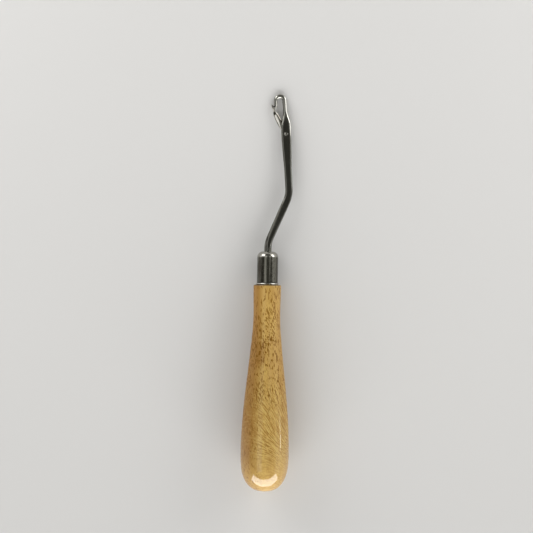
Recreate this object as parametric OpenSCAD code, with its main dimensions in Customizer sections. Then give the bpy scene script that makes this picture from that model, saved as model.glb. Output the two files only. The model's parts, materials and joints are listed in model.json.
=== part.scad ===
// Bent latch hook for hooking rug yarn: a turned wooden handle, a drawn metal ferrule, and a cranked
// steel shank whose end is a small hook closed by a swinging latch.
// Each piece is drawn in the tool's own frame: Y runs up the handle's axis towards the hook, X points
// to the side that the shank is cranked to, and the junction of wood and ferrule is at Y = 0.
// The finished tool is then laid down on a table, as it comes to rest.

/* [Handle] */
// Length of the visible wood, from the butt to the shoulder under the ferrule
handle_len = 82.5; // [70:0.5:100]
// Diameter of the handle at its belly
belly_d = 19.4; // [17:0.1:22]
// Distance of the belly from the butt end
belly_at = 14.2; // [10:0.1:20]
// Diameter of the slim neck below the ferrule
neck_d = 10.7; // [10:0.1:12]
// Distance of the slimmest place from the butt end
neck_at = 70.5; // [60:0.5:76]
// Diameter of the shoulder that the ferrule's lip sits on
shoulder_d = 11; // [10.6:0.1:12]
// How square the rounded butt is: 2 is an ellipse, more is squarer
butt_squareness = 2.5; // [2:0.1:3.5]

/* [Ferrule] */
// Outer diameter of the ferrule
ferrule_d = 8.4; // [8:0.1:9.4]
// Height of the ferrule above the wood
ferrule_len = 13.4; // [12:0.1:16]
// Thickness of the drawn metal
ferrule_wall = 0.45; // [0.3:0.05:0.6]
// Radius of the rounded top edge
ferrule_round = 2.3; // [1.5:0.1:2.4]
// Radius of the rolled lip at the open end
lip_r = 0.45; // [0.3:0.05:0.6]

/* [Shank] */
// Diameter of the steel rod that the shank is formed from
rod_d = 2.9; // [2.6:0.1:3]
// Height of the lower bend above the wood
lower_bend_at = 16.9; // [16.5:0.1:20]
// Angle of the cranked run to the handle's axis
crank_angle = 23.3; // [18:0.1:28]
// Sideways offset of the upper bend from the handle's axis
crank_offset = 8.2; // [6:0.1:9]
// Angle by which the upper run leans back over the handle
lean_back = 3.75; // [2:0.05:5]
// Radius of both bends, at the middle of the rod
bend_r = 12; // [9:0.5:14]
// Distance from the upper bend to the latch's pivot
pivot_from_bend = 24.5; // [23:0.1:27]
// Length of the tang inside the handle
tang_len = 34; // [25:1:45]

/* [Hook] */
// Width of the shank beside the pivot
cheek_w = 3.9; // [3.7:0.1:4.2]
// Thickness of the shank beside the pivot
cheek_t = 2.4; // [2.3:0.1:2.7]
// Thickness of the wire at the neck and the crown of the hook
wire_d = 1.75; // [1.6:0.05:1.85]
// Thickness of the wire at the nose
nose_d = 1.35; // [1.25:0.05:1.45]
// Distance from the pivot to the start of the hook's curve
pivot_to_hook = 13.5; // [13.3:0.1:13.7]
// Radius of the hook, at the middle of its wire
hook_r = 1.76; // [1.7:0.02:1.8]
// Angle that the hook turns back through
hook_turn = 178; // [176:1:180]
// Length of the nose, from the end of the curve to its tip
nose_len = 2.85; // [2.7:0.05:2.9]

/* [Latch] */
// Distance from the pivot to the tip of the latch
latch_len = 13.2; // [13:0.1:13.4]
// Thickness of the latch's blade
blade_t = 0.8; // [0.7:0.05:0.85]
// Depth of the blade at its deepest
blade_h = 2.3; // [2:0.05:2.4]
// Width of the spoon across the latch
spoon_w = 2; // [1.7:0.1:2.2]
// Angle of the closed latch to the shank's upper run
latch_closed = 24.3; // [24.2:0.1:26]
// Angle that the latch swings back through
latch_swing = 142; // [100:1:142]
// Drawn position of the latch: 0 is closed, as in use when it holds a loop of yarn
latch_open = 0; // [0:1:142]

/* [Hidden] */
$fn = 64;

// Clearances: the wood in its ferrule, the rod in its hole, the latch on its pin and in its slot
wood_gap = 0.05;
rod_gap = 0.05;
ferrule_gap = 0.15;
pin_gap = 0.06;
slot_w = 1;
pin_r = 0.55;
eye_r = 1.04;
rivet_head_r = 0.78;
rivet_sink = 0.25;
rivet_dome = 0.12;

// Spigot of the handle, inside the ferrule
spigot_r = ferrule_d / 2 - ferrule_wall - wood_gap;
spigot_chamfer = 1.5;
lip_in = 0.15;
spigot_len = ferrule_len - ferrule_wall - 0.6;
shoulder_round = 0.5;
bore_r = rod_d / 2 + rod_gap;
drill_point = 1;

// Flats pressed on the tang, which bite their own bed into the wood and keep the shank from turning
flat_w = 3.3;
flat_t = 2.1;
flat_at = 11.5;
flat_half = 2.5;
flat_fade = 3;
bed = [3.54, 2 * (flat_half + flat_fade) + 1, 1.8];

// Lengths of the shank's path, from the end of the tang to the tip of the nose
upper_turn = crank_angle + lean_back;
lower_tangent = bend_r * tan(crank_angle / 2);
upper_tangent = bend_r * tan(upper_turn / 2);
crank_run = crank_offset / sin(crank_angle) - lower_tangent - upper_tangent;
upper_run = pivot_from_bend + pivot_to_hook - upper_tangent;
shank_path = [
    [tang_len + lower_bend_at - lower_tangent, 0],
    [arc_len(bend_r, crank_angle), crank_angle],
    [crank_run, 0],
    [arc_len(bend_r, upper_turn), -upper_turn],
    [upper_run, 0],
    [arc_len(hook_r, hook_turn), -hook_turn],
    [nose_len, 0],
];
path_len = sum_of([for (leg = shank_path) leg[0]]);
hook_start = path_len - nose_len - arc_len(hook_r, hook_turn);
hook_end = path_len - nose_len;
pivot_path = hook_start - pivot_to_hook;
pivot = place_at(pivot_path);

// Sections of the shank: distance from the pivot along the path, width in the plane of the crank,
// thickness across it, squareness, where 2 is round, and shift of the middle away from the slot
shank_sections = [
    [-pivot_path, 1.2, 1.2, 2, 0],
    [-pivot_path + 2.5, rod_d, rod_d, 2, 0],
    [-pivot_path + flat_at - flat_half - flat_fade, rod_d, rod_d, 2, 0],
    [-pivot_path + flat_at - flat_half, flat_w, flat_t, 2.6, 0],
    [-pivot_path + flat_at + flat_half, flat_w, flat_t, 2.6, 0],
    [-pivot_path + flat_at + flat_half + flat_fade, rod_d, rod_d, 2, 0],
    [-45, rod_d, rod_d, 2, 0],
    [-36, rod_d + 0.05, rod_d, 2, 0],
    [-30, rod_d + 0.2, rod_d - 0.1, 2.1, 0],
    [-24, rod_d + 0.1, rod_d - 0.15, 2.2, 0],
    [-15, rod_d + 0.15, 2.62, 2.7, 0],
    [-9, 3.45, 2.48, 3.3, 0],
    [-4, 3.8, cheek_t, 3.8, 0],
    [0, cheek_w, cheek_t, 4, 0],
    [3, cheek_w, cheek_t, 4, 0.12],
    [5.6, 3.1, 2.2, 3.4, 0.18],
    [8, 2.1, 1.9, 2.6, 0.1],
    [10, wire_d, wire_d, 2, 0],
    [pivot_to_hook + 2.8, wire_d + 0.05, wire_d, 2, 0],
    [pivot_to_hook + 5.6, nose_d, nose_d, 2, 0],
    [path_len - pivot_path, nose_d - 0.05, nose_d - 0.1, 2, 0],
];
// Spans of the shank's path, as start, end and number of rings: close together where it bends
shank_spans = [
    [-pivot_path, -pivot_path + 18, 12],
    [-pivot_path + 18, shank_bend(1), 2],
    [shank_bend(1), shank_bend(2), 6],
    [shank_bend(2), shank_bend(3), 5],
    [shank_bend(3), shank_bend(4), 7],
    [shank_bend(4), -10, 3],
    [-10, 2, 7],
    [2, 10, 14],
    [10, pivot_to_hook, 2],
    [pivot_to_hook, hook_end - pivot_path, 16],
    [hook_end - pivot_path, path_len - pivot_path, 6],
];
ring_sides = 28;
nose_cap = 0.55;
nose_cap_rings = 5;

// The slot is one cut of a round saw, from the side that the hook opens to
saw_r = 16;
saw_along = -1.8;
saw_out = 14.72;

// Outline of the blade: distance from the pivot, outer edge and inner edge
blade_in = 0.96;
blade_edges = [
    [0, -0.98, 0.98],
    [2, -1.12, 0.98],
    [4, blade_in - blade_h + 0.08, 0.98],
    [6.4, blade_in - blade_h, blade_in],
    [8.1, blade_in - blade_h + 0.12, 0.88],
    [9.2, -0.98, 0.72],
    [10, -0.66, 0.4],
    [10.6, -0.44, 0.16],
];
blade_steps = 20;
// Sections of the spoon: distance from the pivot, middle, half depth, width and hollow
spoon_sections = [
    [9, -0.12, 0.5, 0.7, 0],
    [9.8, -0.12, 0.4, 1.1, 0.12],
    [10.5, 0.05, 0.38, 1.7, 0.45],
    [11.3, 0.23, 0.36, spoon_w, 0.62],
    [12.1, 0.3, 0.3, spoon_w * 0.88, 0.55],
    [12.7, 0.29, 0.22, spoon_w * 0.58, 0.28],
    [latch_len - 0.12, 0.27, 0.12, spoon_w * 0.26, 0.06],
    [latch_len, 0.27, 0.05, 0.1, 0],
];
spoon_rings = 26;
spoon_sides = 24;

// Length of an arc
function arc_len(r, angle) = r * angle * PI / 180;
function sum_of(list, i = 0) = i == len(list) ? 0 : list[i] + sum_of(list, i + 1);

// A point of the path is [x, y, heading], with the heading clockwise from the handle's axis
function moved(at, run, turn) =
    turn == 0
        ? [at[0] + run * sin(at[2]), at[1] + run * cos(at[2]), at[2]]
        : let (r = run / (turn * PI / 180), h = at[2] + turn)
            [at[0] + r * (cos(at[2]) - cos(h)), at[1] + r * (sin(h) - sin(at[2])), h];

// Point of the shank's path at a distance from the end of the tang
function place_at(d, at = [0, -tang_len, 0], i = 0) =
    let (leg = shank_path[i], last = i == len(shank_path) - 1)
        d <= leg[0] || last
            ? moved(at, d, leg[1] * d / leg[0])
            : place_at(d - leg[0], moved(at, leg[0], leg[1]), i + 1);

// Where the n-th leg of the path ends, measured from the pivot
function shank_bend(n) = sum_of([for (i = [0 : n - 1]) shank_path[i][0]]) - pivot_path;

// Smooth curve through the rows of a table, whose first column is the distance. Each slope is the
// harmonic mean of its neighbours', so that the curve never swings past a row.
function secant(rows, i) = (rows[i + 1] - rows[i]) / (rows[i + 1][0] - rows[i][0]);
function mean_slope(a, b) =
    [for (c = [0 : len(a) - 1]) a[c] * b[c] <= 0 ? 0 : 2 * a[c] * b[c] / (a[c] + b[c])];
function slope_at(rows, i) =
    i == 0 ? secant(rows, 0)
    : i == len(rows) - 1 ? secant(rows, i - 1)
    : mean_slope(secant(rows, i - 1), secant(rows, i));
function row_before(rows, x, i = 0) =
    i >= len(rows) - 2 || x < rows[i + 1][0] ? i : row_before(rows, x, i + 1);
function along(rows, x) =
    let (
        i = row_before(rows, x),
        a = rows[i],
        b = rows[i + 1],
        gap = b[0] - a[0],
        t = (x - a[0]) / gap,
        t2 = t * t,
        t3 = t2 * t
    )
    (2 * t3 - 3 * t2 + 1) * a + (t3 - 2 * t2 + t) * gap * slope_at(rows, i)
    + (3 * t2 - 2 * t3) * b + (t3 - t2) * gap * slope_at(rows, i + 1);

// Places from start to end in equal steps, without the end
function steps(start, end, count) = [for (i = [0 : count - 1]) start + (end - start) * i / count];

// A sine or cosine pressed towards a square corner
function pressed(v, squareness) = sign(v) * pow(abs(v), 2 / squareness);

// Closed skin over a stack of rings that have the same number of points
module skin(rings) {
    n = len(rings[0]);
    last = len(rings) - 1;
    polyhedron(
        points = [for (ring = rings) each ring],
        faces = concat(
            [[for (k = [0 : n - 1]) k]],
            [
                for (i = [0 : last - 1], k = [0 : n - 1])
                    let (a = i * n + k, b = i * n + (k + 1) % n)
                    each [[a, b + n, b], [a, a + n, b + n]]
            ],
            [[for (k = [n - 1 : -1 : 0]) last * n + k]]
        )
    );
}

// One ring of the shank: a section of the rod, square to its path
function shank_ring(at, w, t, squareness, shift) = [
    for (k = [0 : ring_sides - 1])
        let (
            angle = 360 * (k + 0.5) / ring_sides,
            across = w / 2 * pressed(cos(angle), squareness) + shift
        )
        [
            at[0] + across * cos(at[2]),
            at[1] - across * sin(at[2]),
            -t / 2 * pressed(sin(angle), squareness)
        ]
];

// Half profile of the handle, from the butt up to the shoulder
function butt_point(angle) =
    let (k = 2 / butt_squareness)
        [
            belly_d / 2 * pow(sin(angle), k),
            -handle_len + belly_at * (1 - pow(cos(angle), k))
        ];
function ease(t) = t * t * (3 - 2 * t);
function swell(t) = neck_d / 2 + (belly_d - neck_d) / 2 * ease(pow(t, 0.85));
function flare(t) = (neck_d + (shoulder_d - neck_d) * ease(t)) / 2;
handle_profile = concat(
    [for (i = [0 : 14]) butt_point(90 * i / 14)],
    [
        for (i = [1 : 24])
            [swell(1 - i / 24), -handle_len + belly_at + (neck_at - belly_at) * i / 24]
    ],
    [
        for (i = [1 : 6])
            [flare(i / 6), (neck_at - handle_len) * (1 - i / 6) - shoulder_round * i / 6]
    ],
    [
        for (i = [1 : 6])
            [
                shoulder_d / 2 - shoulder_round * (1 - cos(15 * i)),
                -shoulder_round * (1 - sin(15 * i))
            ]
    ]
);

// Turns a half profile, drawn with X as radius and Y as height, about the handle's axis
module turned_along_y() {
    rotate([-90, 0, 0])
        rotate_extrude($fn = 96)
            children();
}

// Turned handle, with a spigot for the ferrule, and a drilled hole and a bed for the tang
module handle() {
    color("burlywood")
    difference() {
        turned_along_y()
            polygon(concat(
                handle_profile,
                [
                    [spigot_r, 0],
                    [spigot_r, spigot_len - spigot_chamfer],
                    [spigot_r - spigot_chamfer, spigot_len],
                    [0, spigot_len]
                ]
            ));
        turned_along_y()
            polygon([
                [0, -tang_len - 0.3 - drill_point],
                [bore_r, -tang_len - 0.3],
                [bore_r, spigot_len + 1],
                [0, spigot_len + 1]
            ]);
        translate([0, flat_at - tang_len, 0])
            cube(bed, center = true);
    }
}

// Half section of a cup with a rounded top edge, from the axis out to radius r
module cup_half(r, h, round) {
    square([r, h - round]);
    square([r - round, h]);
    translate([r - round, h - round])
        intersection() {
            circle(r = round);
            square(round);
        }
}

// Drawn ferrule: a thin cup with a rounded top, a hole for the shank and a rolled lip
module ferrule() {
    r = ferrule_d / 2;
    color("silver")
        turned_along_y()
            difference() {
                union() {
                    translate([0, lip_r])
                        cup_half(r, ferrule_len - lip_r, ferrule_round);
                    translate([r - lip_in, lip_r])
                        circle(r = lip_r, $fn = 32);
                }
                translate([0, -1])
                    cup_half(r - ferrule_wall, ferrule_len - ferrule_wall + 1, ferrule_round - ferrule_wall);
                square([rod_d / 2 + ferrule_gap, ferrule_len + 1]);
            }
}

// Puts its children at the pivot, with Y along the upper run and X square to it
module at_pivot() {
    translate([pivot[0], pivot[1], 0])
        rotate(-pivot[2])
            children();
}

// Rod formed into tang, crank, slotted cheeks and hook
module formed_rod() {
    places = concat([for (span = shank_spans) each steps(span[0], span[1], span[2])]);
    tip = along(shank_sections, path_len - pivot_path);
    skin(concat(
        [
            for (d = places)
                let (s = along(shank_sections, d))
                shank_ring(place_at(d + pivot_path), s[1], s[2], s[3], s[4])
        ],
        [
            for (i = [0 : nose_cap_rings - 1])
                let (angle = 84 * i / (nose_cap_rings - 1))
                shank_ring(
                    place_at(path_len + nose_cap * sin(angle) - nose_cap),
                    tip[1] * cos(angle),
                    tip[2] * cos(angle),
                    2,
                    0
                )
        ]
    ));
}

// Saw cut that the latch folds into
module saw_cut() {
    at_pivot()
        translate([-saw_out, saw_along, 0])
            cylinder(r = saw_r, h = slot_w, center = true, $fn = 256);
}

// Hole for the rivet through both cheeks, with a sink for each head
module rivet_hole() {
    at_pivot() {
        cylinder(r = pin_r, h = cheek_t + 1, center = true);
        for (side = [0, 1])
            mirror([0, 0, side])
                translate([0, 0, cheek_t / 2 - rivet_sink])
                    cylinder(r1 = pin_r, r2 = rivet_head_r + 0.23, h = 2 * rivet_sink);
    }
}

// Steel shank with its tang, crank, slot and hook
module hook_shank() {
    color("dimgray")
        difference() {
            formed_rod();
            saw_cut();
            rivet_hole();
        }
}

// Outline of the latch's blade and eye, with Y along the latch
module blade_outline() {
    circle(r = eye_r);
    polygon(concat(
        [
            for (i = [0 : blade_steps])
                let (row = along(blade_edges, 10.6 * i / blade_steps))
                [row[1], row[0]]
        ],
        [
            for (i = [blade_steps : -1 : 0])
                let (row = along(blade_edges, 10.6 * i / blade_steps))
                [row[2], row[0]]
        ]
    ));
}

// One ring of the spoon: a section hollowed towards the hook's nose
function spoon_ring(row) = [
    for (k = [0 : spoon_sides - 1])
        let (
            angle = 360 * (k + 0.5) / spoon_sides,
            side = cos(angle),
            hollow = row[4] * (side * side - 0.3)
        )
        [row[1] + hollow + row[2] * sin(angle), row[0], row[3] / 2 * side]
];

// Swinging latch: a stamped blade whose end is swaged into a spoon for the hook's nose
module latch() {
    color("darkgray")
        at_pivot()
            rotate(latch_closed + min(latch_open, latch_swing))
                difference() {
                    union() {
                        linear_extrude(blade_t, center = true)
                            blade_outline();
                        skin([
                            for (i = [0 : spoon_rings])
                                let (t = i / spoon_rings, first = spoon_sections[0][0])
                                spoon_ring(along(
                                    spoon_sections,
                                    first + (latch_len - first) * t * (2 - t)
                                ))
                        ]);
                    }
                    cylinder(r = pin_r + pin_gap, h = 2, center = true);
                }
}

// Rivet through both cheeks, the pin that the latch turns on, with a peened head at each end
module latch_rivet() {
    half = cheek_t / 2;
    color("gainsboro")
        at_pivot()
            rotate_extrude()
                polygon([
                    [0, -half - rivet_dome],
                    [rivet_head_r * 0.6, -half - rivet_dome * 0.75],
                    [rivet_head_r, -half],
                    [pin_r, -half + rivet_sink],
                    [pin_r, half - rivet_sink],
                    [rivet_head_r, half],
                    [rivet_head_r * 0.6, half + rivet_dome * 0.75],
                    [0, half + rivet_dome]
                ]);
}

// The tool rests on its belly and on the crown of the hook. How far each reaches below the
// tool's axis line depends on the dip of that line, and both are the same where it comes to rest.
crown_y = place_at(hook_start + arc_len(hook_r, 90 - lean_back))[1];
function belly_drop(dip) = max([for (p = handle_profile) p[0] * cos(dip) + p[1] * sin(dip)]);
function crown_drop(dip) = crown_y * sin(dip) + wire_d / 2;
function rest_dip(low, high, halvings) =
    let (mid = (low + high) / 2)
        halvings == 0 ? mid
        : belly_drop(mid) > crown_drop(mid) ? rest_dip(mid, high, halvings - 1)
        : rest_dip(low, mid, halvings - 1);
lay_dip = rest_dip(0, 8, 16);

// Ends of the tool along the table, from the junction of wood and ferrule
butt_end = min([for (p = handle_profile) p[1] * cos(lay_dip) - p[0] * sin(lay_dip)]);
hook_tip = crown_y * cos(lay_dip) + wire_d / 2;

// Lays the tool down on the table, with the middle of its length over the origin
module laid_down() {
    translate([0, -(butt_end + hook_tip) / 2, belly_drop(lay_dip)])
        rotate([-lay_dip, 0, 0])
            children();
}

laid_down() handle();
laid_down() ferrule();
laid_down() hook_shank();
laid_down() latch();
laid_down() latch_rivet();
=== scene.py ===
# A bent latch hook, lying on a pale table as it comes to rest.
# Each piece is modelled in the tool's own frame, then laid down with the others: Y runs up the
# handle's axis towards the hook, X points to the side that the shank is cranked to, and the
# junction of wood and ferrule is at Y = 0.
import json
import math

import bmesh
import bpy
from mathutils import Matrix, Vector


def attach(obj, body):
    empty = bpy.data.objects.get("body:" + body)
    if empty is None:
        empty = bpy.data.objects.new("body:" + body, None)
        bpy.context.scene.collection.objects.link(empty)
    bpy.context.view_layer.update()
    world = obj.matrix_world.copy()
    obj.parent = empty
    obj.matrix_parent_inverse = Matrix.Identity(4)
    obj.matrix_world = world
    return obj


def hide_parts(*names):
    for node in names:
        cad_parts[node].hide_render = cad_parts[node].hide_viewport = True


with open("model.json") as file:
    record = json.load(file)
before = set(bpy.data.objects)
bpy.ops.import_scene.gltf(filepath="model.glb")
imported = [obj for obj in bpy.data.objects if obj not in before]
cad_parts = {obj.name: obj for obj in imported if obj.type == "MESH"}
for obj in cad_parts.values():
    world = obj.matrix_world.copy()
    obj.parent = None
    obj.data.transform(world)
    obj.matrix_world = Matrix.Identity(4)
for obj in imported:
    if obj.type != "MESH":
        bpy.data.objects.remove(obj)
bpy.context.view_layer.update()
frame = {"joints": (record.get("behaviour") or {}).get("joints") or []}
bpy.ops.object.select_all(action="DESELECT")


# Handle: one piece of yellow-tan hardwood, turned to a slim neck and a full belly, sanded and dipped
# in clear lacquer. Its hidden spigot is pressed into the ferrule, and the tang is driven in its hole.

MM = 0.001
handle_len = 82.49
belly_r = 9.685
belly_at = 14.2
neck_r = 5.35
neck_at = 70.5
shoulder_r = 5.5
shoulder_round = 0.5
butt_squareness = 2.5
spigot_r = 3.7
spigot_len = 12.35
bore_r = 1.5

# The latch's hinge says how the tool was laid down: its axis is the tool's own Z
hinge = frame["joints"][0]
hinge_at = Vector(hinge["pos_m"])
hinge_axis = Vector(hinge["axis"])
dip = math.atan2(hinge_axis.y, hinge_axis.z)
pivot = Vector((6.59762, 60.38773, 0)) * MM
laid_down = (
    Matrix.Translation(hinge_at)
    @ Matrix.Rotation(-dip, 4, "X")
    @ Matrix.Translation(-pivot)
)
along_handle = laid_down @ Matrix.Rotation(math.radians(-90), 4, "X")


def ease(t):
    return t * t * (3 - 2 * t)


def finished(obj, place, smooth_angle):
    """Puts a modelled piece in its place, with that place in its mesh, and shades it."""
    obj.matrix_world = place
    bpy.ops.object.select_all(action="DESELECT")
    obj.select_set(True)
    bpy.context.view_layer.objects.active = obj
    bpy.ops.object.transform_apply(location=True, rotation=True, scale=True)
    bpy.ops.object.shade_smooth_by_angle(angle=math.radians(smooth_angle))
    obj.select_set(False)
    return obj


def turned(name, profile, sides):
    """Draws a half profile of (radius, height) points with extrude, and spins it round the Z axis."""
    bpy.ops.mesh.primitive_plane_add(size=MM, enter_editmode=True)
    bpy.ops.mesh.select_all(action="SELECT")
    bpy.ops.mesh.merge(type="CENTER")
    at = Vector((profile[0][0], 0, profile[0][1])) * MM
    bpy.ops.transform.translate(value=at)
    for radius, height in profile[1:]:
        to = Vector((radius, 0, height)) * MM
        bpy.ops.mesh.extrude_region_move(TRANSFORM_OT_translate={"value": to - at})
        at = to
    bpy.ops.mesh.select_all(action="SELECT")
    bpy.ops.mesh.spin(steps=sides, angle=2 * math.pi, center=(0, 0, 0), axis=(0, 0, 1))
    bpy.ops.mesh.select_all(action="SELECT")
    bpy.ops.mesh.remove_doubles(threshold=0.002 * MM)
    bpy.ops.mesh.normals_make_consistent(inside=False)
    bpy.ops.object.mode_set(mode="OBJECT")
    obj = bpy.context.object
    obj.name = name
    obj.data.name = name
    return obj


handle_profile = []
for i in range(33):
    a = math.radians(90 * i / 32)
    k = 2 / butt_squareness
    handle_profile.append(
        (belly_r * math.sin(a) ** k, -handle_len + belly_at * (1 - math.cos(a) ** k))
    )
for i in range(1, 61):
    t = 1 - i / 60
    handle_profile.append(
        (
            neck_r + (belly_r - neck_r) * ease(t**0.85),
            -handle_len + belly_at + (neck_at - belly_at) * i / 60,
        )
    )
for i in range(1, 11):
    t = i / 10
    handle_profile.append(
        (
            neck_r + (shoulder_r - neck_r) * ease(t),
            (neck_at - handle_len) * (1 - t) - shoulder_round * t,
        )
    )
for i in range(1, 9):
    a = math.radians(90 * i / 8)
    handle_profile.append(
        (
            shoulder_r - shoulder_round * (1 - math.cos(a)),
            -shoulder_round * (1 - math.sin(a)),
        )
    )
handle_profile += [
    (spigot_r, 0),
    (spigot_r, spigot_len - 1.5),
    (spigot_r - 1.5, spigot_len),
    (bore_r, spigot_len),
    (bore_r, -34.3),
    (0, -35.3),
]
handle = turned("turned_handle", handle_profile, 144)
finished(handle, along_handle, 40)
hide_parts("handle")
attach(handle, "tool")


def node_at(tree, kind, x, y, label=""):
    node = tree.nodes.new(kind)
    node.location = (x, y)
    node.label = label
    return node


def math_node(tree, operation, a, b=None, c=None, clamp=False):
    node = tree.nodes.new("ShaderNodeMath")
    node.operation = operation
    node.use_clamp = clamp
    for socket, value in zip(node.inputs, (a, b, c)):
        if value is None:
            continue
        if isinstance(value, (int, float)):
            socket.default_value = value
        else:
            tree.links.new(value, socket)
    return node.outputs[0]


def stepped(tree, value, low, high, to_low=0.0, to_high=1.0):
    """A smooth step of a value from low to high."""
    node = tree.nodes.new("ShaderNodeMapRange")
    node.interpolation_type = "SMOOTHSTEP"
    tree.links.new(value, node.inputs["Value"])
    node.inputs["From Min"].default_value = low
    node.inputs["From Max"].default_value = high
    node.inputs["To Min"].default_value = to_low
    node.inputs["To Max"].default_value = to_high
    return node.outputs["Result"]


def noise(tree, vector, scale, detail=2.0, roughness=0.5, distortion=0.0):
    node = tree.nodes.new("ShaderNodeTexNoise")
    tree.links.new(vector, node.inputs["Vector"])
    node.inputs["Scale"].default_value = scale
    node.inputs["Detail"].default_value = detail
    node.inputs["Roughness"].default_value = roughness
    node.inputs["Distortion"].default_value = distortion
    return node.outputs["Fac"]


def scaled(tree, vector, scale, rotation=(0, 0, 0), location=(0, 0, 0)):
    node = tree.nodes.new("ShaderNodeMapping")
    tree.links.new(vector, node.inputs["Vector"])
    node.inputs["Location"].default_value = location
    node.inputs["Rotation"].default_value = [math.radians(r) for r in rotation]
    node.inputs["Scale"].default_value = scale
    return node.outputs["Vector"]


def blended(tree, factor, a, b, mode="MIX"):
    """Mixes two colours, each a socket or a plain linear colour."""
    node = tree.nodes.new("ShaderNodeMix")
    node.data_type = "RGBA"
    node.blend_type = mode
    for name, value in (("Factor", factor), ("A", a), ("B", b)):
        socket = next(
            s for s in node.inputs if s.name == name and (name == "Factor" or s.type == "RGBA")
        )
        if isinstance(value, bpy.types.NodeSocket):
            tree.links.new(value, socket)
        elif isinstance(value, (int, float)):
            socket.default_value = value
        else:
            socket.default_value = (*value, 1)
    return next(s for s in node.outputs if s.type == "RGBA")


def new_material(name, slot_name):
    """An empty Principled material, with the tool's own coordinates in millimetres."""
    material = bpy.data.materials.new(name)
    material.use_nodes = True
    tree = material.node_tree
    shader = tree.nodes["Principled BSDF"]
    coordinates = node_at(tree, "ShaderNodeTexCoord", -2200, 0)
    tool = node_at(tree, "ShaderNodeMapping", -2000, 0, "Tool frame")
    tool.vector_type = "TEXTURE"
    tool.inputs["Location"].default_value = laid_down.to_translation()
    tool.inputs["Rotation"].default_value = (-dip, 0, 0)
    tool.inputs["Scale"].default_value = (MM, MM, MM)
    tree.links.new(coordinates.outputs["Object"], tool.inputs["Vector"])
    return material, tree, shader, tool.outputs["Vector"]


def new_group(name, inputs, outputs):
    group = bpy.data.node_groups.new(name, "ShaderNodeTree")
    for label, kind, value in inputs:
        socket = group.interface.new_socket(name=label, in_out="INPUT", socket_type=kind)
        if value is not None:
            socket.default_value = value
    for label, kind in outputs:
        group.interface.new_socket(name=label, in_out="OUTPUT", socket_type=kind)
    return (
        group,
        node_at(group, "NodeGroupInput", -1200, 0),
        node_at(group, "NodeGroupOutput", 600, 0),
    )


def placed(tree, group, links, values):
    node = tree.nodes.new("ShaderNodeGroup")
    node.node_tree = group
    for label, socket in links.items():
        tree.links.new(socket, node.inputs[label])
    for label, value in values.items():
        node.inputs[label].default_value = value
    return node


# Short dark pores of the wood: dashes along the axis, or slanting round it
pores, pores_in, pores_out = new_group(
    "wood pores",
    [
        ("Tool", "NodeSocketVector", None),
        ("Slant", "NodeSocketFloat", 0.0),
        ("Spacing", "NodeSocketVector", (1, 1, 1)),
        ("Cut", "NodeSocketFloat", 0.6),
    ],
    [("Mask", "NodeSocketFloat")],
)
height = node_at(pores, "ShaderNodeSeparateXYZ", -1000, -200)
pores.links.new(pores_in.outputs["Tool"], height.inputs["Vector"])
turn = node_at(pores, "ShaderNodeVectorRotate", -800, 0)
turn.rotation_type = "Y_AXIS"
pores.links.new(pores_in.outputs["Tool"], turn.inputs["Vector"])
pores.links.new(
    math_node(pores, "MULTIPLY", height.outputs["Y"], pores_in.outputs["Slant"]),
    turn.inputs["Angle"],
)
stretch = node_at(pores, "ShaderNodeVectorMath", -600, 0)
stretch.operation = "MULTIPLY"
pores.links.new(turn.outputs["Vector"], stretch.inputs[0])
pores.links.new(pores_in.outputs["Spacing"], stretch.inputs[1])
dash = noise(pores, stretch.outputs["Vector"], 1.0, 1.0, 0.5, 0.2)
above = math_node(pores, "SUBTRACT", dash, pores_in.outputs["Cut"])
pores.links.new(stepped(pores, above, 0.0, 0.05), pores_out.inputs["Mask"])

wood, tree, shader, tool = new_material("lacquered wood", "lacquered_wood")
split = node_at(tree, "ShaderNodeSeparateXYZ", -1800, 0)
tree.links.new(tool, split.inputs["Vector"])
x, y, z = split.outputs


def pore_mask(slant, spacing, cut):
    node = placed(tree, pores, {"Tool": tool}, {"Slant": slant, "Spacing": spacing, "Cut": cut})
    return node.outputs["Mask"]


def spot(at_x, at_y, half_x, half_y):
    """Mask of a soft oval patch on the handle."""
    across = math_node(tree, "MULTIPLY_ADD", x, 1 / half_x, -at_x / half_x)
    up = math_node(tree, "MULTIPLY_ADD", y, 1 / half_y, -at_y / half_y)
    away = math_node(
        tree, "ADD", math_node(tree, "POWER", across, 2), math_node(tree, "POWER", up, 2)
    )
    return stepped(tree, away, 1.0, 0.1)


# Turn round the handle: 1 on the side of the crank, -1 on the other
spoke = node_at(tree, "ShaderNodeCombineXYZ", -1600, 200)
tree.links.new(x, spoke.inputs["X"])
tree.links.new(z, spoke.inputs["Z"])
unit = node_at(tree, "ShaderNodeVectorMath", -1450, 200)
unit.operation = "NORMALIZE"
tree.links.new(spoke.outputs["Vector"], unit.inputs[0])
side = node_at(tree, "ShaderNodeSeparateXYZ", -1300, 200)
tree.links.new(unit.outputs["Vector"], side.inputs["Vector"])
side = side.outputs["X"]

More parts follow.
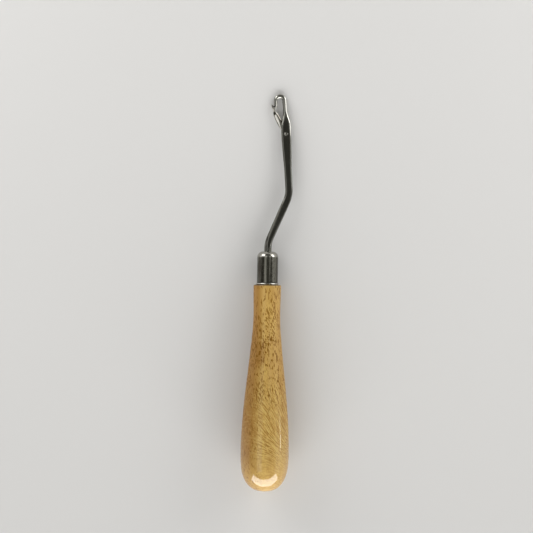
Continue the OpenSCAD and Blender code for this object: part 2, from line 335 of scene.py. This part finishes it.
# Colour drifts slowly along the grain, from yellow to a browner tan
drift = noise(tree, scaled(tree, tool, (0.14, 0.045, 0.14)), 1.0, 2.0, 0.5, 0.3)
base = blended(
    tree, stepped(tree, drift, 0.38, 0.66), (0.58, 0.382, 0.108), (0.495, 0.304, 0.082)
)
mottle = noise(tree, scaled(tree, tool, (0.9, 0.3, 0.9)), 1.0, 3.0, 0.6, 0.2)
base = blended(tree, stepped(tree, mottle, 0.42, 0.72, 0.0, 0.38), base, (0.37, 0.2, 0.046))
# Partly painted shade: the side away from the crank and the edge on the crank's side are browner,
# standing in for shade and a brown reflection there; the patch and the neck are browner in the wood's
# own tone
browner_and_painted_shade = math_node(
    tree, "MAXIMUM",
    math_node(tree, "MAXIMUM", spot(-4.6, -27, 5.2, 10), stepped(tree, side, 0.0, -0.75)),
    math_node(
        tree, "MAXIMUM", stepped(tree, side, 0.5, 0.95, 0.0, 0.4), stepped(tree, y, -22, -5, 0.0, 0.3)
    ),
)
browner_and_painted_shade = math_node(tree, "MULTIPLY", browner_and_painted_shade, stepped(tree, y, -66, -75, 0.88, 0.55))
base = blended(tree, browner_and_painted_shade, base, (0.28, 0.132, 0.022))

# The belly is cut across the grain, which shows as fine arched lines
arch_at = stepped(tree, y, -58, -77, -6.0, 1.5)
arched = math_node(
    tree, "MULTIPLY_ADD",
    math_node(tree, "POWER", math_node(tree, "SUBTRACT", x, arch_at), 2), 0.095, y,
)
arches = node_at(tree, "ShaderNodeCombineXYZ", -1300, -300)
tree.links.new(x, arches.inputs["X"])
tree.links.new(arched, arches.inputs["Y"])
tree.links.new(z, arches.inputs["Z"])
lines = noise(tree, scaled(tree, arches.outputs["Vector"], (0.5, 1.6, 0.5)), 1.0, 2.0, 0.6)
wander = noise(tree, scaled(tree, tool, (0.22, 0.1, 0.22)), 1.0, 2.0)
ripple = math_node(
    tree, "SINE",
    math_node(
        tree, "MULTIPLY_ADD", arched, 5.0, math_node(tree, "MULTIPLY", wander, 20.0)
    ),
)
lines = math_node(tree, "MULTIPLY_ADD", ripple, 0.05, lines)
belly = math_node(
    tree, "MULTIPLY", stepped(tree, y, -37, -46), stepped(tree, y, -72, -64, 0.35, 1.0)
)
lined = math_node(tree, "MULTIPLY", belly, stepped(tree, side, -0.7, 0.1, 0.2, 1.0))
pale_lines = math_node(tree, "MULTIPLY", stepped(tree, lines, 0.46, 0.4), lined)
base = blended(tree, math_node(tree, "MULTIPLY", pale_lines, 0.45), base, (0.63, 0.5, 0.17))
dark_lines = math_node(tree, "MULTIPLY", stepped(tree, lines, 0.53, 0.59), lined)

patch = noise(tree, scaled(tree, tool, (0.13, 0.08, 0.13), location=(3.1, 1.7, 0)), 1.0, 1.0)
crowded = math_node(
    tree, "MAXIMUM", stepped(tree, patch, 0.45, 0.62),
    math_node(tree, "MAXIMUM", spot(-3.4, -25, 4.8, 10), spot(-4.6, -46, 4.6, 5.0)),
)
upper = math_node(
    tree, "MULTIPLY", stepped(tree, y, -56, -40, 0.15, 1.0),
    math_node(tree, "SUBTRACT", 1.0, math_node(tree, "MULTIPLY", spot(0.2, -38, 4.5, 6), 0.3)),
)
# Fewer of them go on down the left of the belly
upper = math_node(tree, "MAXIMUM", upper, stepped(tree, side, 0.0, -0.45, 0.0, 0.7))
flecks = math_node(
    tree, "MAXIMUM", pore_mask(0.016, (1.8, 0.52, 1.8), 0.59),
    math_node(tree, "MULTIPLY", pore_mask(0.035, (2.2, 0.75, 2.2), 0.545), crowded),
)
# On the neck some of the pores lie in slanting chains
chains = math_node(tree, "MULTIPLY", pore_mask(0.09, (1.9, 0.3, 1.9), 0.625), spot(2.6, -12, 4.0, 13))
flecks = math_node(tree, "MAXIMUM", flecks, chains)
marks = math_node(
    tree, "MAXIMUM", math_node(tree, "MULTIPLY", flecks, upper),
    math_node(tree, "MULTIPLY", dark_lines, 0.62),
)
marks = math_node(tree, "MULTIPLY", marks, stepped(tree, y, -14, -22, 0.82, 1.0))
base = blended(tree, marks, base, (0.19, 0.078, 0.001))
# Painted shade in the corner under the ferrule's lip
shade_under_lip = stepped(tree, y, -0.4, -0.05)
base = blended(tree, math_node(tree, "MULTIPLY", shade_under_lip, 0.6), base, (0.06, 0.045, 0.02))
tree.links.new(base, shader.inputs["Base Color"])
rough = math_node(tree, "ADD", math_node(tree, "MULTIPLY", marks, 0.15), 0.5)
tree.links.new(rough, shader.inputs["Roughness"])
shader.inputs["Specular IOR Level"].default_value = 0.15
# The dip left the lacquer thinner above the butt
lacquer = stepped(tree, y, -50, -76, 0.3, 1.0)
tree.links.new(lacquer, shader.inputs["Coat Weight"])
shader.inputs["Coat IOR"].default_value = 1.7
shader.inputs["Coat Roughness"].default_value = 0.07
relief = math_node(tree, "SUBTRACT", math_node(tree, "MULTIPLY", mottle, 0.3), marks)
bump = node_at(tree, "ShaderNodeBump", -300, -400)
bump.inputs["Strength"].default_value = 0.3
bump.inputs["Distance"].default_value = 0.00008
tree.links.new(relief, bump.inputs["Height"])
tree.links.new(bump.outputs["Normal"], shader.inputs["Normal"])
handle.data.materials.append(wood)


# Ferrule: a cap drawn from thin sheet and nickel plated, with a rolled lip at its open end and a
# rounded top that is pierced for the shank. It is pressed over the spigot against the wood.
ferrule_r = 4.2
ferrule_len = 13.4
ferrule_wall = 0.45
ferrule_round = 2.3
lip_r = 0.45
lip_in = 0.15
hole_r = 1.6

ferrule_profile = [(ferrule_r - ferrule_wall, 0.1), (ferrule_r - ferrule_wall, 0)]
for i in range(13):
    a = math.radians(-90 + 15 * i)
    ferrule_profile.append(
        (ferrule_r - lip_in + lip_r * math.cos(a), lip_r + lip_r * math.sin(a))
    )
ferrule_profile = [p for p in ferrule_profile if p[0] >= ferrule_r or p[1] < lip_r]
ferrule_profile.append((ferrule_r, 2 * lip_r + 0.03))
for i in range(13):
    a = math.radians(90 * i / 12)
    ferrule_profile.append(
        (
            ferrule_r - ferrule_round * (1 - math.cos(a)),
            ferrule_len - ferrule_round * (1 - math.sin(a)),
        )
    )
ferrule_profile += [
    (hole_r + 0.12, ferrule_len),
    (hole_r, ferrule_len - 0.12),
    (hole_r, ferrule_len - ferrule_wall),
]
inner_r = ferrule_r - ferrule_wall
inner_round = ferrule_round - ferrule_wall
for i in range(9):
    a = math.radians(90 - 90 * i / 8)
    ferrule_profile.append(
        (
            inner_r - inner_round * (1 - math.cos(a)),
            ferrule_len - ferrule_wall - inner_round * (1 - math.sin(a)),
        )
    )
ferrule_profile.append(ferrule_profile[0])
ferrule = turned("drawn_ferrule", ferrule_profile, 128)
finished(ferrule, along_handle, 35)
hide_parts("ferrule")
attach(ferrule, "tool")

# Wear of bright plating: fine marks along the piece, cloudy smudges and small pits
plating, plating_in, plating_out = new_group(
    "worn plating",
    [
        ("Surface", "NodeSocketVector", None),
        ("Marks", "NodeSocketVector", (1, 1, 1)),
        ("Wear", "NodeSocketFloat", 0.5),
    ],
    [("Roughness", "NodeSocketFloat"), ("Dull", "NodeSocketFloat"), ("Height", "NodeSocketFloat")],
)
along_marks = node_at(plating, "ShaderNodeVectorMath", -900, 0)
along_marks.operation = "MULTIPLY"
plating.links.new(plating_in.outputs["Surface"], along_marks.inputs[0])
plating.links.new(plating_in.outputs["Marks"], along_marks.inputs[1])
streaks = noise(plating, along_marks.outputs["Vector"], 1.0, 3.0, 0.7)
smudge = noise(plating, plating_in.outputs["Surface"], 0.45, 2.0, 0.5, 0.4)
pits = noise(plating, plating_in.outputs["Surface"], 3.2, 2.0, 0.6)
pitted = stepped(plating, pits, 0.66, 0.76)
smudged = stepped(plating, smudge, 0.42, 0.66)
marked = stepped(plating, streaks, 0.48, 0.75)
wear = math_node(plating, "MULTIPLY", marked, plating_in.outputs["Wear"])
rough = math_node(
    plating, "ADD",
    math_node(plating, "MULTIPLY", smudged, 0.10),
    math_node(plating, "MULTIPLY", wear, 0.22),
)
plating.links.new(math_node(plating, "ADD", rough, 0.1), plating_out.inputs["Roughness"])
dull = math_node(
    plating, "MAXIMUM",
    math_node(plating, "MULTIPLY", pitted, 0.5),
    math_node(plating, "MULTIPLY", wear, 0.45),
)
plating.links.new(dull, plating_out.inputs["Dull"])
height = math_node(
    plating, "SUBTRACT",
    math_node(plating, "MULTIPLY", marked, plating_in.outputs["Wear"]),
    pitted,
)
plating.links.new(height, plating_out.inputs["Height"])


def plated_metal(name, colour, dull_colour, marks, wear, depth):
    """Bright nickel plate with its wear; returns the tree, its parts and the tool's coordinates."""
    material, tree, shader, tool = new_material(name, name)
    worn = placed(tree, plating, {"Surface": tool}, {"Marks": marks, "Wear": wear})
    base = blended(tree, worn.outputs["Dull"], colour, dull_colour)
    tree.links.new(base, shader.inputs["Base Color"])
    tree.links.new(worn.outputs["Roughness"], shader.inputs["Roughness"])
    shader.inputs["Metallic"].default_value = 1.0
    bump = node_at(tree, "ShaderNodeBump", -300, -400)
    bump.inputs["Strength"].default_value = 0.3
    bump.inputs["Distance"].default_value = depth
    tree.links.new(worn.outputs["Height"], bump.inputs["Height"])
    tree.links.new(bump.outputs["Normal"], shader.inputs["Normal"])
    return material, tree, shader, tool, base


nickel = (0.17, 0.168, 0.148)
tarnish = (0.08, 0.072, 0.058)
ferrule_metal, tree, shader, tool, base = plated_metal(
    "ferrule plating", (0.19, 0.186, 0.157), tarnish, (2.6, 0.22, 2.6), 0.8, 0.00002
)
split = node_at(tree, "ShaderNodeSeparateXYZ", -1800, 300)
tree.links.new(tool, split.inputs["Vector"])
# Painted shade: one side is darkened in smoky patches, and on the other side speckles darken it from
# the middle outwards and its outer edge is darkened, standing in for dark reflections there
shade_patch_noise = noise(tree, scaled(tree, tool, (0.5, 0.12, 0.5)), 1.0, 3.0, 0.6)
painted_dark_sides = math_node(
    tree, "MULTIPLY", stepped(tree, split.outputs["X"], -1.2, -2.6), stepped(tree, shade_patch_noise, 0.3, 0.55)
)
painted_dark_edge = stepped(tree, split.outputs["X"], 3.05, 3.6, 0.0, 0.75)
painted_dark_speckle = noise(tree, scaled(tree, tool, (1.5, 1.0, 1.5)), 1.0, 3.0, 0.6)
painted_dark_speckle = math_node(
    tree, "MULTIPLY", stepped(tree, painted_dark_speckle, 0.48, 0.62),
    stepped(tree, split.outputs["X"], 0.8, 1.8, 0.0, 0.6),
)
painted_dark_sides = math_node(
    tree, "MAXIMUM", math_node(tree, "MULTIPLY", painted_dark_sides, 0.85),
    math_node(tree, "MAXIMUM", painted_dark_edge, painted_dark_speckle),
)
base = blended(tree, painted_dark_sides, base, (0.06, 0.053, 0.042))
# Darker in the groove above the lip
groove = math_node(
    tree, "MULTIPLY",
    stepped(tree, split.outputs["Y"], 0.62, 0.82),
    stepped(tree, split.outputs["Y"], 1.25, 0.95),
)
base = blended(tree, math_node(tree, "MULTIPLY", groove, 0.7), base, (0.05, 0.045, 0.035))
# The lip and the edge of the rounded top are rubbed bright
rubbed = math_node(
    tree, "MAXIMUM",
    stepped(tree, split.outputs["Y"], 0.8, 0.55),
    stepped(tree, split.outputs["Y"], 10.8, 11.6, 0.0, 0.6),
)
base = blended(tree, math_node(tree, "MULTIPLY", rubbed, 0.85), base, (0.7, 0.68, 0.62))
tree.links.new(base, shader.inputs["Base Color"])
ferrule.data.materials.append(ferrule_metal)


# Shank: one steel rod, pressed flat on the tang, cranked twice, flattened beside the latch, drawn
# thin and turned over into the hook, then slotted with a saw and nickel plated.
rod_d = 2.9
tang_len = 34
lower_bend_at = 16.9
crank_angle = 23.3
crank_offset = 8.2
lean_back = 3.75
bend_r = 12
pivot_from_bend = 24.5
cheek_w = 3.9
cheek_t = 2.4
wire_d = 1.74
nose_d = 1.35
pivot_to_hook = 13.5
hook_r = 1.76
hook_turn = 178
nose_len = 2.85
nose_cap = 0.55

# Legs of the shank's path, as length and turn, from the end of the tang to the tip of the nose
upper_turn = crank_angle + lean_back
lower_tangent = bend_r * math.tan(math.radians(crank_angle / 2))
upper_tangent = bend_r * math.tan(math.radians(upper_turn / 2))
shank_path = [
    (tang_len + lower_bend_at - lower_tangent, 0),
    (bend_r * math.radians(crank_angle), crank_angle),
    (crank_offset / math.sin(math.radians(crank_angle)) - lower_tangent - upper_tangent, 0),
    (bend_r * math.radians(upper_turn), -upper_turn),
    (pivot_from_bend + pivot_to_hook - upper_tangent, 0),
    (hook_r * math.radians(hook_turn), -hook_turn),
    (nose_len, 0),
]
path_len = sum(leg[0] for leg in shank_path)
pivot_path = sum(leg[0] for leg in shank_path[:5]) - pivot_to_hook


def place_at(distance):
    """Point and heading of the shank's path; the heading is clockwise from the handle's axis."""
    x, y, heading = 0.0, -tang_len, 0.0
    for i, (length, turn) in enumerate(shank_path):
        run = distance if i == len(shank_path) - 1 else min(distance, length)
        part = math.radians(turn) * run / length
        if abs(part) < 1e-9:
            x += run * math.sin(heading)
            y += run * math.cos(heading)
        else:
            r = run / part
            x += r * (math.cos(heading) - math.cos(heading + part))
            y += r * (math.sin(heading + part) - math.sin(heading))
        heading += part
        distance -= run
        if distance <= 0:
            break
    return x, y, heading


def along(rows, x):
    """Smooth curve through the rows of a table, which never swings past a row."""

    def secant(i):
        gap = rows[i + 1][0] - rows[i][0]
        return [(b - a) / gap for a, b in zip(rows[i], rows[i + 1])]

    def slope(i):
        if i == 0:
            return secant(0)
        if i == len(rows) - 1:
            return secant(i - 1)
        return [
            0 if a * b <= 0 else 2 * a * b / (a + b)
            for a, b in zip(secant(i - 1), secant(i))
        ]

    i = max([0] + [k for k in range(len(rows) - 1) if rows[k][0] <= x])
    gap = rows[i + 1][0] - rows[i][0]
    t = (x - rows[i][0]) / gap
    return [
        (2 * t**3 - 3 * t**2 + 1) * a
        + (t**3 - 2 * t**2 + t) * gap * sa
        + (3 * t**2 - 2 * t**3) * b
        + (t**3 - t**2) * gap * sb
        for a, b, sa, sb in zip(rows[i], rows[i + 1], slope(i), slope(i + 1))
    ]


def pressed(v, squareness):
    return math.copysign(abs(v) ** (2 / squareness), v)


def lofted(name, rings):
    """Extrudes a disc from ring to ring, in millimetres, and sets each new ring in its place."""
    bpy.ops.mesh.primitive_circle_add(
        vertices=len(rings[0]), radius=MM, fill_type="NGON", enter_editmode=True
    )
    obj = bpy.context.object
    mesh = bmesh.from_edit_mesh(obj.data)
    side = mesh.verts.layers.int.new("side")
    for i, v in enumerate(mesh.verts):
        v[side] = i
    bmesh.update_edit_mesh(obj.data)
    bpy.ops.mesh.select_all(action="SELECT")
    for i, ring in enumerate(rings):
        if i:
            bpy.ops.mesh.extrude_region_move()
        mesh = bmesh.from_edit_mesh(obj.data)
        side = mesh.verts.layers.int["side"]
        for v in mesh.verts:
            if v.select:
                v.co = Vector(ring[v[side]]) * MM
        bmesh.update_edit_mesh(obj.data)
    bpy.ops.mesh.select_all(action="SELECT")
    bpy.ops.mesh.normals_make_consistent(inside=False)
    bpy.ops.object.mode_set(mode="OBJECT")
    obj.data.attributes.remove(obj.data.attributes["side"])
    obj.name = name
    obj.data.name = name
    return obj


def cut(obj, cutter):
    """Takes the cutter's shape out of a piece, and removes the cutter."""
    bpy.ops.object.select_all(action="DESELECT")
    obj.select_set(True)
    bpy.context.view_layer.objects.active = obj
    saw = obj.modifiers.new("cut", "BOOLEAN")
    saw.operation = "DIFFERENCE"
    saw.solver = "EXACT"
    saw.object = cutter
    bpy.ops.object.modifier_apply(modifier=saw.name)
    bpy.data.objects.remove(cutter)
    return obj


# Distance from the pivot, width, thickness, squareness (2 is round) and shift away from the slot
flat_w = 3.3
flat_t = 2.1
flat_at = 11.5
flat_half = 2.5
flat_fade = 3
tang_end = -pivot_path
shank_sections = [
    (tang_end, 1.2, 1.2, 2, 0),
    (tang_end + 2.5, rod_d, rod_d, 2, 0),
    (tang_end + flat_at - flat_half - flat_fade, rod_d, rod_d, 2, 0),
    (tang_end + flat_at - flat_half, flat_w, flat_t, 2.6, 0),
    (tang_end + flat_at + flat_half, flat_w, flat_t, 2.6, 0),
    (tang_end + flat_at + flat_half + flat_fade, rod_d, rod_d, 2, 0),
    (-48.5, rod_d, rod_d, 2, 0),
    (-44, rod_d, rod_d, 2.6, 0),
    (-36, rod_d + 0.05, rod_d, 3.2, 0),
    (-30, rod_d + 0.2, rod_d - 0.1, 3.8, 0),
    (-24, rod_d + 0.1, rod_d - 0.15, 4.4, 0),
    (-15, rod_d + 0.15, 2.62, 5, 0),
    (-9, 3.45, 2.48, 5.4, 0),
    (-4, 3.8, cheek_t, 5.6, 0),
    (0, cheek_w, cheek_t, 5.6, 0),
    (3, cheek_w, cheek_t, 5, 0.12),
    (5.6, 3.1, 2.2, 3.4, 0.18),
    (8, 2.1, 1.9, 2.2, 0.1),
    (10, wire_d, wire_d, 2, 0),
    (pivot_to_hook + 2.8, wire_d + 0.05, wire_d, 2, 0),
    (pivot_to_hook + 5.6, nose_d, nose_d, 2, 0),
    (path_len - pivot_path, nose_d - 0.05, nose_d - 0.1, 2, 0),
]
# Spans of the path with their number of rings, close together where it bends or changes
bend_ends = [sum(leg[0] for leg in shank_path[: n + 1]) - pivot_path for n in range(6)]
shank_spans = [
    (tang_end, tang_end + 18, 24),
    (tang_end + 18, bend_ends[0], 5),
    (bend_ends[0], bend_ends[1], 14),
    (bend_ends[1], bend_ends[2], 10),
    (bend_ends[2], bend_ends[3], 16),
    (bend_ends[3], -10, 8),
    (-10, 2, 16),
    (2, 10, 28),
    (10, pivot_to_hook, 5),
    (pivot_to_hook, bend_ends[5], 36),
    (bend_ends[5], path_len - pivot_path - nose_cap, 8),
]
shank_sides = 48


def shank_ring(distance, shrink=1.0):
    _, width, thickness, squareness, shift = along(
        shank_sections, min(distance, path_len - pivot_path)
    )
    x, y, heading = place_at(distance + pivot_path)
    ring = []
    for k in range(shank_sides):
        a = 2 * math.pi * (k + 0.5) / shank_sides
        across = shrink * width / 2 * pressed(math.cos(a), squareness) + shift
        ring.append(
            (
                x + across * math.cos(heading),
                y - across * math.sin(heading),
                -shrink * thickness / 2 * pressed(math.sin(a), squareness),
            )
        )
    return ring


shank_rings = []
for start, end, count in shank_spans:
    shank_rings += [shank_ring(start + (end - start) * i / count) for i in range(count)]
nose_end = path_len - pivot_path
for i in range(9):
    a = math.radians(86 * i / 8)
    shank_rings.append(shank_ring(nose_end - nose_cap * (1 - math.sin(a)), math.cos(a)))
hook_shank = lofted("hook_shank_rod", shank_rings)

pivot_heading = place_at(pivot_path)[2]
at_pivot = Matrix.Translation(pivot) @ Matrix.Rotation(-pivot_heading, 4, "Z")

# The slot is one cut of a round saw, from the side that the hook opens to
saw_r = 16
saw_along = -1.8
saw_out = 14.72
slot_w = 1.0
bpy.ops.mesh.primitive_cylinder_add(vertices=256, radius=saw_r * MM, depth=slot_w * MM)
saw_blade = bpy.context.object
saw_blade.matrix_world = at_pivot @ Matrix.Translation(Vector((-saw_out, saw_along, 0)) * MM)
cut(hook_shank, saw_blade)

# Hole for the rivet, with a sink for each head
pin_r = 0.55
rivet_head_r = 0.78
rivet_sink = 0.25
half_cheek = cheek_t / 2
rivet_hole = turned(
    "rivet_hole",
    [
        (0, -half_cheek - rivet_sink),
        (2 * rivet_head_r - pin_r, -half_cheek - rivet_sink),
        (pin_r, -half_cheek + rivet_sink),
        (pin_r, half_cheek - rivet_sink),
        (2 * rivet_head_r - pin_r, half_cheek + rivet_sink),
        (0, half_cheek + rivet_sink),
    ],
    48,
)
rivet_hole.matrix_world = at_pivot
cut(hook_shank, rivet_hole)
finished(hook_shank, laid_down, 32)
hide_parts("hook_shank")
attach(hook_shank, "tool")

shank_metal, tree, shader, tool, base = plated_metal(
    "shank plating", nickel, tarnish, (1.4, 0.3, 1.4), 0.45, 0.000012
)
split = node_at(tree, "ShaderNodeSeparateXYZ", -1800, 300)
tree.links.new(tool, split.inputs["Vector"])
x, y, z = split.outputs


def past_line(slope, reach, start, end):
    """Mask of what lies to one side of a line, x + slope * y = reach, on the shank's flat."""
    line = math_node(tree, "ADD", math_node(tree, "MULTIPLY_ADD", y, slope, -reach), x)
    return stepped(tree, line, start, end)


# Partly wear and partly painted sheen: the hook is rubbed bright by the yarn, and the outer edge of
# its shoulder is painted bright where a highlight falls
painted_sheen_edge = math_node(
    tree, "MULTIPLY", past_line(0.183, 19.73, -0.75, -0.35), stepped(tree, y, 57, 63, 0.0, 0.75)
)
rubbed = math_node(tree, "MAXIMUM", stepped(tree, y, 64, 69.5, 0.0, 0.6), painted_sheen_edge)
# The painted sheen is kept off the wire's inner side and the back of the nose, which keep the plain
# plating
wire_back = math_node(
    tree, "MULTIPLY", past_line(0.0655, 10.55, -0.05, -0.4), past_line(0.0655, 10.55, -1.7, -1.3)
)
sheen_kept_off = math_node(
    tree, "MULTIPLY", math_node(tree, "MAXIMUM", wire_back, stepped(tree, x, 2.35, 1.95)),
    stepped(tree, y, 75.6, 74.8, 0.0, 0.95),
)
rubbed = math_node(tree, "MULTIPLY", rubbed, math_node(tree, "SUBTRACT", 1.0, sheen_kept_off))
base = blended(tree, rubbed, base, (0.66, 0.65, 0.6))
# Painted shade: the left side of the crank is darkened
crank_side_painted_dark = math_node(
    tree, "MULTIPLY", past_line(-0.4306, -7.28, -0.55, -0.95), stepped(tree, y, 36, 31, 0.0, 0.75)
)
base = blended(tree, crank_side_painted_dark, base, (0.05, 0.046, 0.036))
tree.links.new(base, shader.inputs["Base Color"])
hook_shank.data.materials.append(shank_metal)


# Latch: stamped from thin steel sheet and plated. Its blade swings in the slot on a round eye, and
# its end is swaged into a small spoon that closes over the nose of the hook.
latch_len = 13.2
latch_closed = 24.3
eye_r = 1.04
blade_t = 0.8
spoon_w = 2.0
pin_gap = 0.06
# Distance from the pivot, middle, half depth, width, squareness and hollow
latch_sections = [
    (0, 0, 1.02, blade_t, 6, 0),
    (2, -0.07, 1.05, blade_t, 6, 0),
    (4, -0.14, 1.11, blade_t, 2.6, 0),
    (6.4, -0.09, 1.12, blade_t, 1.5, 0.26),
    (8.1, -0.08, 1.02, blade_t, 1.5, 0.26),
    (9.2, -0.07, 0.82, blade_t + 0.02, 1.8, 0.26),
    (10, -0.07, 0.56, 1.15, 2.4, 0.25),
    (10.5, 0.03, 0.44, 1.65, 2.3, 0.42),
    (11.3, 0.23, 0.36, spoon_w, 2, 0.62),
    (12.1, 0.3, 0.3, spoon_w * 0.88, 2, 0.55),
    (12.7, 0.29, 0.22, spoon_w * 0.58, 2, 0.28),
    (latch_len - 0.12, 0.27, 0.12, spoon_w * 0.26, 2, 0.06),
    (latch_len, 0.27, 0.05, 0.1, 2, 0),
]
latch_sides = 48


def latch_ring(distance, shrink=1.0):
    _, middle, half_depth, width, squareness, hollow = along(
        latch_sections, max(distance, 0)
    )
    ring = []
    for k in range(latch_sides):
        a = 2 * math.pi * (k + 0.5) / latch_sides
        side = pressed(math.cos(a), squareness)
        depth = shrink * half_depth * pressed(math.sin(a), squareness)
        ring.append((middle + hollow * (side * side - 0.3) + depth, distance, width / 2 * side))
    return ring


latch_rings = []
for i in range(12):
    a = math.radians(8 + 82 * i / 11)
    latch_rings.append(latch_ring(-eye_r * math.cos(a), math.sin(a)))
latch_rings += [latch_ring(9 * i / 18) for i in range(1, 18)]
latch_rings += [latch_ring(9 + (latch_len - 9) * (i / 40) * (2 - i / 40)) for i in range(41)]
latch = lofted("latch_lever", latch_rings)
bpy.ops.mesh.primitive_cylinder_add(vertices=64, radius=(pin_r + pin_gap) * MM, depth=2 * MM)
cut(latch, bpy.context.object)
closed = at_pivot @ Matrix.Rotation(math.radians(latch_closed), 4, "Z")
latch_side = closed.to_3x3() @ Vector((1, 0, 0))
finished(latch, laid_down @ closed, 40)
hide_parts("latch")
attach(latch, "latch")

latch_metal, tree, shader, tool, base = plated_metal(
    "latch plating", (0.8, 0.78, 0.71), tarnish, (0.5, 1.2, 1.2), 0.4, 0.000012
)
# Painted shade: the spoon is darkened
reach = node_at(tree, "ShaderNodeVectorMath", -1800, 300)
reach.operation = "DISTANCE"
reach.inputs[1].default_value = pivot / MM
tree.links.new(tool, reach.inputs[0])
reach = reach.outputs["Value"]
spoon_painted_dark = math_node(tree, "MULTIPLY", stepped(tree, reach, 11.2, 12.2), 0.95)
# Painted shade also darkens the crease where the blade turns into it, and the blade's inner half
inward = node_at(tree, "ShaderNodeVectorMath", -1800, 100)
inward.operation = "DOT_PRODUCT"
inward.inputs[1].default_value = latch_side
tree.links.new(tool, inward.inputs[0])
inward = math_node(tree, "SUBTRACT", inward.outputs["Value"], latch_side.dot(pivot / MM))
crease_painted_shade = math_node(
    tree, "MULTIPLY", stepped(tree, inward, 0.25, -0.1),
    math_node(tree, "MULTIPLY", stepped(tree, reach, 8.6, 9.2), stepped(tree, reach, 10.4, 9.9)),
)
inner_half_painted_shade = math_node(
    tree, "MULTIPLY", stepped(tree, inward, 0.05, 0.3), stepped(tree, reach, 9.4, 8.4, 0.0, 0.75)
)
base = blended(tree, inner_half_painted_shade, base, (0.17, 0.14, 0.11))
base = blended(tree, math_node(tree, "MAXIMUM", spoon_painted_dark, crease_painted_shade), base, (0.05, 0.045, 0.035))
tree.links.new(base, shader.inputs["Base Color"])
latch.data.materials.append(latch_metal)


# Rivet: a soft steel pin through both cheeks, with each end peened into its sink until it holds,
# which leaves a low dome worn bright.
rivet_dome = 0.12
head_edge = rivet_head_r - 0.02
rivet_profile = [(0, -half_cheek - rivet_dome)]
for i in range(1, 9):
    t = i / 8
    rivet_profile.append((head_edge * t, -half_cheek - rivet_dome * (1 - t * t) ** 0.8))
rivet_profile += [(pin_r, -half_cheek + rivet_sink)]
rivet_profile += [(r, -h) for r, h in reversed(rivet_profile)]
rivet = turned("peened_rivet", rivet_profile, 64)
finished(rivet, laid_down @ at_pivot, 35)
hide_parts("latch_rivet")
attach(rivet, "tool")

rivet_metal, tree, shader, tool, base = plated_metal(
    "peened steel", (0.45, 0.44, 0.4), tarnish, (3.5, 3.5, 3.5), 0.5, 0.00003
)
rivet.data.materials.append(rivet_metal)


# Table: a plain pale top, far wider than the view, with nothing on it but the tool.
bpy.ops.mesh.primitive_plane_add(size=1.25, location=(0, 0, 0))
table_top = bpy.context.object
table_top.name = "table_top"
table_paint = bpy.data.materials.new("pale table")
table_paint.use_nodes = True
shader = table_paint.node_tree.nodes["Principled BSDF"]
shader.inputs["Base Color"].default_value = (0.6, 0.593, 0.582, 1)
shader.inputs["Roughness"].default_value = 0.7
shader.inputs["Specular IOR Level"].default_value = 0.2
table_top.data.materials.append(table_paint)


# Studio light: soft boxes low round the tool, and a room that is darker overhead, so that the flat
# of the metal stays dark and its edges shine.
def soft_box(name, azimuth, elevation, distance, width, height, radiance, colour=(1, 1, 1)):
    a, e = math.radians(azimuth), math.radians(elevation)
    at = Vector((math.sin(a) * math.cos(e), math.cos(a) * math.cos(e), math.sin(e))) * distance
    bpy.ops.object.light_add(type="AREA", location=at)
    lamp = bpy.context.object
    lamp.name = name
    lamp.rotation_euler = (-at).to_track_quat("-Z", "Y").to_euler()
    lamp.data.shape = "RECTANGLE"
    lamp.data.size = width
    lamp.data.size_y = height
    lamp.data.energy = radiance * math.pi * width * height
    lamp.data.color = colour


soft_box("butt_box", 178, 24.5, 3.4, 8.8, 2.35, 4.8)
soft_box("rim_left", -47, 24, 0.5, 0.26, 0.3, 4.0)
soft_box("rim_right", 43, 22, 0.5, 0.16, 0.22, 3.0)
soft_box("hook_right", 63, 22, 0.49, 0.24, 0.22, 3.0)
soft_box("hook_left", -77, 16, 0.45, 0.09, 0.18, 1.2)
soft_box("handle_right", 97.5, 11, 0.5, 0.07, 0.02, 12.0)
soft_box("left_panel", -90, 66, 0.9, 0.9, 0.36, 0.72)
soft_box("right_low", 90, 24, 0.9, 1.0, 0.45, 0.52)
soft_box("right_high", 62, 57, 0.9, 0.24, 0.42, 0.6)

world = bpy.data.worlds.new("studio room")
bpy.context.scene.world = world
world.use_nodes = True
tree = world.node_tree
sky = tree.nodes["Background"]
direction = node_at(tree, "ShaderNodeTexCoord", -900, 0)
split = node_at(tree, "ShaderNodeSeparateXYZ", -700, 0)
tree.links.new(direction.outputs["Generated"], split.inputs["Vector"])
room = stepped(tree, split.outputs["Z"], 0.12, 0.36)
tree.links.new(
    blended(tree, room, (0.55, 0.545, 0.54), (0.13, 0.128, 0.115)), sky.inputs["Color"]
)


# Camera: square to the tool's flat side, with the tool upright in the frame and leaning a little.
MM_PER_PIXEL = 0.4
FRAME_PIXELS = 533
lens = 100
sensor = 36
junction_px = (266.81, 284.4)
lean = math.radians(0.92)
middle_px = (FRAME_PIXELS - 1) / 2
right_px = middle_px - junction_px[0]
up_px = junction_px[1] - middle_px
aim = Vector(
    (
        right_px * math.cos(lean) - up_px * math.sin(lean),
        up_px * math.cos(lean) + right_px * math.sin(lean),
        0,
    )
) * (MM_PER_PIXEL * MM)
back_off = MM_PER_PIXEL * FRAME_PIXELS * MM * lens / sensor
camera_data = bpy.data.cameras.new("camera")
camera_data.lens = lens
camera_data.sensor_width = sensor
camera = bpy.data.objects.new("camera", camera_data)
bpy.context.scene.collection.objects.link(camera)
camera.matrix_world = (
    laid_down @ Matrix.Translation(aim + Vector((0, 0, back_off))) @ Matrix.Rotation(lean, 4, "Z")
)
bpy.context.scene.camera = camera
bpy.context.scene.view_settings.view_transform = "Standard"
